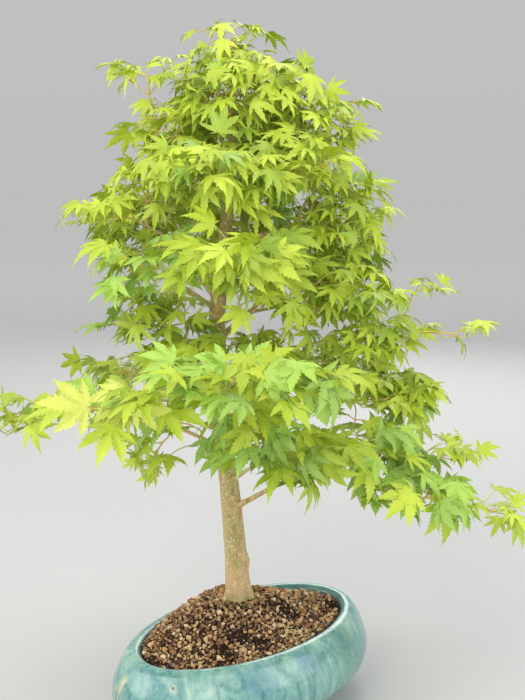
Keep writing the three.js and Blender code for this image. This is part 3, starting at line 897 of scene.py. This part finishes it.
# ------------------------------------------------------------------ pot
POT = verts("pot")
flat = POT[:, :2] - POT[:, :2].mean(0)
TURN = math.radians(42)
LONG, SHORT = 127.0, 72.5
RIM_Z, FLOOR_Z = 88.0, 15.0
WALL = [(-60, 0.0), (-30, 0.0), (-19, 0.0), (-17, 0.6), (-16, 4), (-14.6, 8.5), (-8, 12.5), (0.5, 16.8), (8.4, 21.6), (19.2, 32), (23.7, 43), (24.3, 50), (23.6, 57), (20.6, 66.4), (17.8, 72), (15, 77.4), (12.0, 82.4), (9.2, 85.8),
        (5.6, 88.0), (1.8, 89.0), (-1.6, 88.6), (-4.4, 86.6), (-5.8, 83.6), (-5.2, 80.6), (-3.6, 78.4), (3.2, 70), (10.2, 58)]


def spline(rows, per):
    P = np.array(rows, float)
    out = []
    for i in range(len(P) - 1):
        p0, p1, p2, p3 = P[max(0, i - 1)], P[i], P[i + 1], P[min(len(P) - 1, i + 2)]
        for k in range(per):
            t = k / per
            out.append(0.5 * (2 * p1 + (p2 - p0) * t + (2 * p0 - 5 * p1 + 4 * p2 - p3) * t * t + (3 * p1 - p0 - 3 * p2 + p3) * t ** 3))
    out.append(P[-1])
    return np.array(out)


def oval(off, z, a):
    x, y = (LONG + off) * np.cos(a), (SHORT + off) * np.sin(a)
    return np.stack([x * math.cos(TURN) - y * math.sin(TURN), x * math.sin(TURN) + y * math.cos(TURN), np.broadcast_to(z, x.shape)], -1)


pot = Pile()
prof = spline(WALL[2:], 5)
A = np.linspace(0, 2 * np.pi, 240, endpoint=False)
rings = []
for off, z in prof:
    base_ring = oval(off, z, A)
    key = np.stack([np.cos(A) * 2.1, np.sin(A) * 2.1, np.full_like(A, z / 34)], 1)
    wob = 0.7 * noise(key, 21) + 0.22 * noise(key * 4.5, 22) + 0.08 * noise(key * 13, 23)
    low = smooth(1, 12, z)
    grow = oval(off + wob * low, z, A)
    rim = smooth(70, 88, z)
    grow[:, 2] += rim * 0.5 * noise(np.stack([np.cos(A) * 1.6, np.sin(A) * 1.6, np.zeros_like(A)], 1), 25)
    rings.append(grow)
P = np.concatenate(rings)
nA, nR = len(A), len(rings)
i, j = np.meshgrid(np.arange(nR - 1), np.arange(nA), indexing="ij")
k = (j + 1) % nA
F = np.stack([i * nA + j, i * nA + k, (i + 1) * nA + k, (i + 1) * nA + j], -1).reshape(-1, 4)
zc = np.repeat([(prof[q, 1] + prof[q + 1, 1]) / 2 for q in range(nR - 1)], nA)
turned_in = np.repeat(np.arange(nR - 1) > int(np.argmax(prof[:, 1])) + 2, nA)
face_m = np.where(zc < 9.5, 1, np.where(turned_in, 2, 0))
pot.add(P, F, face_m)
# underside: a flat floor with two drain holes
import bmesh
bm = bmesh.new()
outer = [bm.verts.new(Vector(q)) for q in oval(-19, 0.0, A)]
loops = [outer]
for s in (-1, 1):
    c = np.array([46 * s * math.cos(TURN), 46 * s * math.sin(TURN)])
    loops.append([bm.verts.new(Vector((c[0] + 6.5 * math.cos(t), c[1] + 6.5 * math.sin(t), 0.0))) for t in np.linspace(0, 2 * np.pi, 24, endpoint=False)])
edges = []
for lp in loops:
    for q in range(len(lp)):
        edges.append(bm.edges.new((lp[q], lp[(q + 1) % len(lp)])))
bmesh.ops.triangle_fill(bm, use_beauty=True, use_dissolve=False, edges=edges)
bm.verts.ensure_lookup_table()
bm.verts.index_update()
BV = np.array([v.co[:] for v in bm.verts])
BF = []
for f in bm.faces:
    idx = [v.index for v in f.verts]
    a_, b_, c_ = BV[idx[0]], BV[idx[1]], BV[idx[2]]
    if np.cross(b_ - a_, c_ - a_)[2] > 0:
        idx = idx[::-1]
    BF.append(idx)
pot.add(BV, BF, 1)
for lp in loops[1:]:
    ring = np.array([v.co[:] for v in lp])
    up = ring.copy(); up[:, 2] = FLOOR_Z
    q = len(ring)
    pot.add(np.vstack([ring, up]), [[t, (t + 1) % q, q + (t + 1) % q, q + t] for t in range(q)], 1)
bm.free()

def glaze_material(name, inner):
    m, n, l, p = material(name)
    co = n.new("ShaderNodeTexCoord").outputs["Object"]
    runs = noise_tex(n, l, scaled(n, l, co, (1, 1, 0.34)), 44, 7, 0.66, 0.9)
    cloud = noise_tex(n, l, co, 17, 6, 0.62, 0.6)
    lines = noise_tex(n, l, scaled(n, l, co, (1, 1, 0.10)), 190, 5, 0.62, 0.2)
    grain = noise_tex(n, l, co, 300, 6, 0.7)
    cell = n.new("ShaderNodeTexVoronoi"); cell.inputs["Scale"].default_value = 520; l.new(co, cell.inputs["Vector"])
    base = ramp(n, l, runs, [(0.27, (52, 104, 108)), (0.40, (86, 144, 142)), (0.5, (118, 172, 164)), (0.6, (150, 194, 178)), (0.74, (190, 216, 194))]).outputs["Color"]
    base = mix(n, l, ramp(n, l, cloud, [(0.48, (0, 0, 0)), (0.66, (150, 150, 150))]).outputs["Color"], base, srgb(92, 146, 164))
    base = mix(n, l, ramp(n, l, lines, [(0.52, (0, 0, 0)), (0.66, (150, 150, 150))]).outputs["Color"], base, srgb(190, 216, 186))
    base = mix(n, l, ramp(n, l, lines, [(0.32, (120, 120, 120)), (0.44, (0, 0, 0))]).outputs["Color"], base, srgb(58, 108, 112))
    if not inner:
        # patches where the glaze pooled blue or ran cream, and painted shade: the two darker green patches on the right
        # side
        for centre, ri, ro, colour, much in (((62, -63, 76), 5, 17, (64, 124, 158), .8), ((51, -64, 85), 3, 10, (70, 130, 158), .6), ((14, -97, 74), 6, 20, (76, 136, 168), .75), ((-114, -89, 70), 2, 11, (226, 222, 180), .85),
                                             # (109, -14, 56) and (99, -17, 77) are painted shade: the right side darker
                                             # green
                                             ((-118, -90, 60), 2, 12, (222, 216, 168), .8), ((-121, -86, 48), 2, 12, (206, 206, 160), .6), ((109, -14, 56), 10, 42, (92, 138, 116), .6), ((99, -17, 77), 6, 24, (70, 118, 112), .5), ((-28, -112, 77), 5, 22, (176, 208, 194), .45),
                                             ((-64.4, -113.4, 77.9), 2.4, 7, (214, 228, 212), .8), ((-64.4, -113.4, 77.9), 0.9, 2.4, (128, 86, 62), .95), ((-70, 100, 60), 8, 26, (70, 128, 160), .7), ((80, 104, 62), 6, 22, (206, 214, 176), .6)):
            f = spot(n, l, co, centre, ri, ro)
            g = n.new("ShaderNodeMath"); g.operation = "MULTIPLY"; g.inputs[1].default_value = much
            if ro > 3:
                w = n.new("ShaderNodeMapRange"); w.inputs["From Min"].default_value = 0.34; w.inputs["From Max"].default_value = 0.56; l.new(runs, w.inputs["Value"])
                h = n.new("ShaderNodeMath"); h.operation = "MULTIPLY"; l.new(f, h.inputs[0]); l.new(w.outputs["Result"], h.inputs[1]); f = h.outputs[0]
            l.new(f, g.inputs[0])
            base = mix(n, l, g.outputs[0], base, srgb(*colour))
    base = mix(n, l, ramp(n, l, grain, [(0.5, (0, 0, 0)), (0.72, (130, 130, 130))]).outputs["Color"], base, srgb(196, 222, 204))
    base = mix(n, l, ramp(n, l, cell.outputs["Distance"], [(0.0, (170, 170, 170)), (0.15, (0, 0, 0))]).outputs["Color"], base, srgb(44, 84, 90))
    # painted shade: the glaze turned in under the rim is darkened towards deep teal
    if inner:
        base = mix(n, l, 0.62, base, srgb(34, 92, 98))
    l.new(base, p.inputs["Base Color"])
    p.inputs["Roughness"].default_value = 0.26
    p.inputs["Coat Weight"].default_value = 0.4
    p.inputs["Coat Roughness"].default_value = 0.12
    bump_node(n, l, grain, 0.16, 0.0006, p)
    return m


# the lip's copy of the glaze carries painted shade
glaze, glaze_in = glaze_material("teal_glaze", False), glaze_material("teal_glaze_lip", True)
m, n, l, p = material("bare_clay")
co = n.new("ShaderNodeTexCoord").outputs["Object"]
g = noise_tex(n, l, co, 300, 5)
l.new(ramp(n, l, g, [(0.3, (112, 84, 66)), (0.7, (150, 118, 94))]).outputs["Color"], p.inputs["Base Color"])
p.inputs["Roughness"].default_value = 0.85
bump_node(n, l, g, 0.3, 0.0006, p)
pot.build("pot_body", [glaze, m, glaze_in], "glaze", True, ["pot"])

# ------------------------------------------------------------------ soil
EDGE_Z, TOP_Z, FLAT_R = 84.5, 109.0, 27.0
HEAP_TOWARDS, HEAP_RISE = math.radians(150), 4.5  # the side where the soil is banked up over the rim
FOOT = TRUNK_C[0][:2]


def edge_reach(a, off=-8.0):
    """How far the wall is from the trunk's foot in each direction."""
    ca, sa = math.cos(-TURN), math.sin(-TURN)
    fx, fy = FOOT[0] * ca - FOOT[1] * sa, FOOT[0] * sa + FOOT[1] * ca
    dx, dy = np.cos(a - TURN), np.sin(a - TURN)
    L, S = LONG + off, SHORT + off
    qa = (dx / L) ** 2 + (dy / S) ** 2
    qb = 2 * (fx * dx / L ** 2 + fy * dy / S ** 2)
    qc = (fx / L) ** 2 + (fy / S) ** 2 - 1
    return (-qb + np.sqrt(qb * qb - 4 * qa * qc)) / (2 * qa)


def soil_z(x, y):
    dx, dy = x - FOOT[0], y - FOOT[1]
    a, r = np.arctan2(dy, dx), np.hypot(dx, dy)
    R = edge_reach(a)
    t = np.clip((R - r) / (R - FLAT_R), 0, 1)
    banked = smooth(-0.1, 0.7, np.cos(a - HEAP_TOWARDS))
    low = EDGE_Z + HEAP_RISE * banked
    rise = (1 - banked) * (0.45 * t + 0.55 * smooth(0, 1, t)) + banked * (1 - (1 - t) ** 3.6)
    z = low + (TOP_Z - low) * rise
    return z + 1.5 * noise(np.stack([x / 22, y / 22, np.zeros_like(x)], 1), 31) * smooth(0, 0.2, t) * (1 - smooth(0.8, 1, t))


bed = Pile()
A2 = np.linspace(0, 2 * np.pi, 180, endpoint=False)
RR = edge_reach(A2, -6.4)
levels = np.linspace(0.06, 1, 46)
P = []
for q in levels:
    x, y = FOOT[0] + RR * q * np.cos(A2), FOOT[1] + RR * q * np.sin(A2)
    z = soil_z(x, y) - 1.6 + 1.1 * noise(np.stack([x / 3.2, y / 3.2, np.zeros_like(x)], 1), 33)
    P.append(np.stack([x, y, z], 1))
x, y = FOOT[0] + edge_reach(A2, -5) * np.cos(A2), FOOT[1] + edge_reach(A2, -5) * np.sin(A2)
P.append(np.stack([x, y, np.full_like(x, 76.0)], 1))
nA, nR = len(A2), len(P)
i, j = np.meshgrid(np.arange(nR - 1), np.arange(nA), indexing="ij")
k = (j + 1) % nA
F = np.stack([i * nA + j, (i + 1) * nA + j, (i + 1) * nA + k, i * nA + k], -1).reshape(-1, 4)
bed.add(np.concatenate(P), F, 0)
m, n, l, p = material("soil_bed")
co = n.new("ShaderNodeTexCoord").outputs["Object"]
g = noise_tex(n, l, co, 420, 6, 0.7)
l.new(ramp(n, l, g, [(0.3, (28, 20, 16)), (0.5, (58, 40, 30)), (0.7, (98, 70, 50))]).outputs["Color"], p.inputs["Base Color"])
p.inputs["Roughness"].default_value = 0.95
p.inputs["Specular IOR Level"].default_value = 0.15
bump_node(n, l, g, 0.8, 0.0012, p)
bed.build("soil_bed", [m], "soil", True, ["soil"])

GRIT = [("grit_tan", (207, 174, 130)), ("grit_cream", (226, 204, 164)), ("grit_brown", (150, 117, 88)), ("grit_red", (158, 112, 82)),
        ("grit_dark", (88, 66, 54)), ("grit_black", (46, 40, 38)), ("grit_ochre", (192, 150, 98)), ("grit_grey", (160, 150, 136)), ("moss", (122, 128, 76))]
grit_mats = [plain(nm, c, 0.9, 0.2) for nm, c in GRIT]
CLUMPS = [(36, 9, 12), (-4, -46, 11), (-19, -67, 9), (90, 52, 10), (15, -49, 7)]  # dark, fine, moist clods


def stone(rng, fine):
    bm = bmesh.new()
    bmesh.ops.create_icosphere(bm, subdivisions=2 if fine else 1, radius=1)
    V = np.array([v.co[:] for v in bm.verts])
    F = np.array([[v.index for v in f.verts] for f in bm.faces])
    bm.free()
    # flats broken off a lump
    for _ in range(9 if fine else 5):
        d = unit(rng.normal(0, 1, 3))
        cut = rng.uniform(0.42, 0.82)
        h = V @ d
        V = V - np.maximum(0, h - cut)[:, None] * d * 0.95
    V = (V + rng.normal(0, 0.06, V.shape)) * rng.uniform(0.7, 1.25, 3)
    return V, F


srng = np.random.default_rng(55)
BIG = [stone(srng, True) for _ in range(9)]
SMALL = [stone(srng, False) for _ in range(6)]


def rand_rot(rng):
    q = unit(rng.normal(0, 1, 4))
    w, x, y, z = q
    return np.array([[1 - 2 * (y * y + z * z), 2 * (x * y - z * w), 2 * (x * z + y * w)], [2 * (x * y + z * w), 1 - 2 * (x * x + z * z), 2 * (y * z - x * w)], [2 * (x * z - y * w), 2 * (y * z + x * w), 1 - 2 * (x * x + y * y)]])


grit, crumbs = Pile(), Pile()
placed = []
grid = {}
sizes = np.sort(srng.lognormal(math.log(1.72), 0.36, 2450).clip(0.95, 4.6))[::-1]
for r in sizes:
    for _ in range(24):
        a = srng.uniform(0, 2 * np.pi)
        R = edge_reach(np.array([a]), -6.4)[0] - r * 0.75
        d = R * math.sqrt(srng.uniform(0, 1))
        x, y = FOOT[0] + d * math.cos(a), FOOT[1] + d * math.sin(a)
        if d < trunk_r(T_LOW + 3) * 0.95 + r * 0.3:
            continue
        gx, gy = int(x // 10), int(y // 10)
        near = [q for u in (-1, 0, 1) for v in (-1, 0, 1) for q in grid.get((gx + u, gy + v), [])]
        if all((x - q[0]) ** 2 + (y - q[1]) ** 2 > ((r + q[2]) * 0.86) ** 2 for q in near):
            break
    else:
        continue
    grid.setdefault((gx, gy), []).append((x, y, r))
    z = soil_z(np.array([x]), np.array([y]))[0] + r * srng.uniform(-0.35, 0.35)
    dark = sum(math.exp(-((x - u) ** 2 + (y - v) ** 2) / (0.7 * q * q)) for u, v, q in CLUMPS)
    if dark > 0.5 and r > 2.2:
        continue
    w = np.array([.25, .10, .24, .11, .16 + dark * 0.9, .03 + dark * 1.6, .10, .03, 0.0])
    if d < 34:
        w[8] = 0.5 * math.exp(-max(0, d - 16) / 9)
    V, F = BIG[int(srng.integers(len(BIG)))]
    grit.add((V * r) @ rand_rot(srng).T * np.array([1, 1, 0.88]) + [x, y, z], F, int(srng.choice(9, p=w / w.sum())))
for _ in range(6400):
    r = srng.uniform(0.45, 1.25)
    a = srng.uniform(0, 2 * np.pi)
    R = edge_reach(np.array([a]), -6.4)[0] - r
    d = R * math.sqrt(srng.uniform(0.01, 1))
    x, y = FOOT[0] + d * math.cos(a), FOOT[1] + d * math.sin(a)
    if d < trunk_r(T_LOW + 2) * 0.9:
        continue
    z = soil_z(np.array([x]), np.array([y]))[0] + srng.uniform(-0.8, 0.9)
    dark = sum(math.exp(-((x - u) ** 2 + (y - v) ** 2) / (0.7 * q * q)) for u, v, q in CLUMPS)
    w = np.array([.20, .10, .24, .10, .18 + dark, .05 + dark * 2.5, .09, .03, 0.4 * math.exp(-max(0, d - 14) / 7)])
    V, F = SMALL[int(srng.integers(len(SMALL)))]
    crumbs.add((V * r) @ rand_rot(srng).T + [x, y, z], F, int(srng.choice(9, p=w / w.sum())))
grit.build("soil_grit", grit_mats, "soil", False)
crumbs.build("soil_crumbs", grit_mats, "soil", False)
straw = Pile()
for k in range(22):
    cx, cy = ((46, -27) if k < 15 else (float(srng.uniform(-50, 60)), float(srng.uniform(-60, 40))))
    cx, cy = cx + srng.normal(0, 6), cy + srng.normal(0, 7)
    a, half = srng.uniform(0, np.pi), srng.uniform(3, 8)
    bow = srng.normal(0, 1.2)
    Q = []
    for t in (-1, -0.5, 0, 0.5, 1):
        x, y = cx + math.cos(a) * half * t - math.sin(a) * bow * (1 - t * t), cy + math.sin(a) * half * t + math.cos(a) * bow * (1 - t * t)
        Q.append([x, y, soil_z(np.array([x]), np.array([y]))[0] + 2.3 + srng.uniform(-0.4, 0.7)])
    tube(straw, Q, [0.34, 0.4, 0.42, 0.4, 0.3], 5, 0)
straw.build("soil_straw", [plain("dry_straw", (226, 206, 148), 0.6, 0.3)], "soil", True)

# ------------------------------------------------------------------ stage, light, camera
bpy.ops.mesh.primitive_circle_add(vertices=96, radius=60, fill_type="NGON", location=(0, 0, 0))
floor = bpy.context.object
floor.name = "floor"
m, n, l, p = material("floor_pale")
# a little paler far off, where the lamps don't reach, so that the floor runs evenly into the backdrop
co = n.new("ShaderNodeTexCoord").outputs["Object"]
far = n.new("ShaderNodeVectorMath"); far.operation = "LENGTH"; l.new(co, far.inputs[0])
fade = n.new("ShaderNodeMapRange"); fade.interpolation_type = "SMOOTHSTEP"; l.new(far.outputs["Value"], fade.inputs["Value"])
fade.inputs["From Min"].default_value = 0.5; fade.inputs["From Max"].default_value = 5.0
l.new(mix(n, l, fade.outputs["Result"], srgb(203, 203, 202), srgb(246, 246, 245)), p.inputs["Base Color"])
p.inputs["Roughness"].default_value = 0.95
p.inputs["Specular IOR Level"].default_value = 0.1
floor.data.materials.append(m)


def area(name, place, target, size, power, colour=(1, 1, 1)):
    d = bpy.data.lights.new(name, "AREA")
    d.shape = "DISK"
    d.size = size
    d.energy = power
    d.color = colour
    o = bpy.data.objects.new(name, d)
    bpy.context.scene.collection.objects.link(o)
    o.location = place
    o.rotation_euler = (Vector(target) - Vector(place)).to_track_quat("-Z", "Y").to_euler()


area("key", (-0.9, -1.5, 1.9), (0, 0, 0.42), 1.3, 18, (1.0, 0.98, 0.94))
area("front", (0.3, -2.2, 0.9), (0, 0, 0.36), 1.6, 12, (1.0, 0.99, 0.96))
area("fill", (1.9, -0.7, 1.0), (0, 0, 0.4), 1.4, 13, (0.98, 0.99, 1.0))
area("side", (-1.9, -0.6, 1.0), (0, 0, 0.4), 1.4, 14, (1, 1, 1))
area("top", (0.1, 0.3, 2.2), (0, 0, 0.4), 1.3, 10, (1, 1, 1))
area("back", (0.4, 1.9, 1.4), (0, 0, 0.45), 1.2, 14, (1, 1, 0.98))
# the backdrop: the floor's own far shade at the horizon, a little lighter above
world = bpy.data.worlds.new("studio")
bpy.context.scene.world = world
world.use_nodes = True
wn, wl = world.node_tree.nodes, world.node_tree.links
sky = wn["Background"]
sep = wn.new("ShaderNodeSeparateXYZ")
wl.new(wn.new("ShaderNodeTexCoord").outputs["Generated"], sep.inputs[0])
shade = ramp(wn, wl, sep.outputs["Z"], [(0.0, (0.508, 0.510, 0.510, 1)), (0.35, (0.555, 0.557, 0.559, 1))])
wl.new(shade.outputs["Color"], sky.inputs["Color"])
sky.inputs["Strength"].default_value = 1.0
bpy.context.scene.view_settings.view_transform = "Standard"

cam = bpy.data.cameras.new("camera")
cam.sensor_width = 36
cam.lens = 49.99
cam.clip_start = 0.02
eye = bpy.data.objects.new("camera", cam)
bpy.context.scene.collection.objects.link(eye)
eye.location = (0.017, -0.940, 0.5263)
eye.rotation_euler = (math.radians(90 - 9.28), 0, 0)
bpy.context.scene.camera = eye
